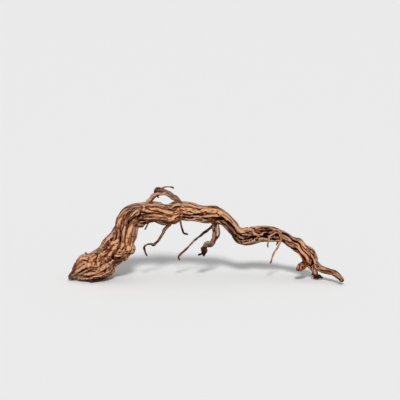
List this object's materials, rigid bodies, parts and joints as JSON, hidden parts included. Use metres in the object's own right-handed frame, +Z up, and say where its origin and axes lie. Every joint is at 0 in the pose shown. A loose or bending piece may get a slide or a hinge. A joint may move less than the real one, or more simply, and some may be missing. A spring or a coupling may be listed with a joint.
{
  "type": "dry root",
  "caption": "Dry twisted root that arches over the surface: a swollen cut butt, a trunk of grown-together strands, forked tips, and thin hanging rootlets.",
  "frame": {"origin": "middle of the bounding box in X and Y, on the surface that the root rests on (Z = 0)", "axes": "+X from the cut butt towards the forked tips, the longest extent; +Y away from the side with the stub and the forward tip; +Z up"},
  "size_m": [0.4492, 0.0742, 0.1552],
  "materials": {
    "root_wood": "bare, dry, peeled root wood: warm tan ridges, pinkish brown flanks, nearly black clefts, matt"
  },
  "bodies": {
    "root": {"dry_root": "root_wood"}
  },
  "joints": []
}
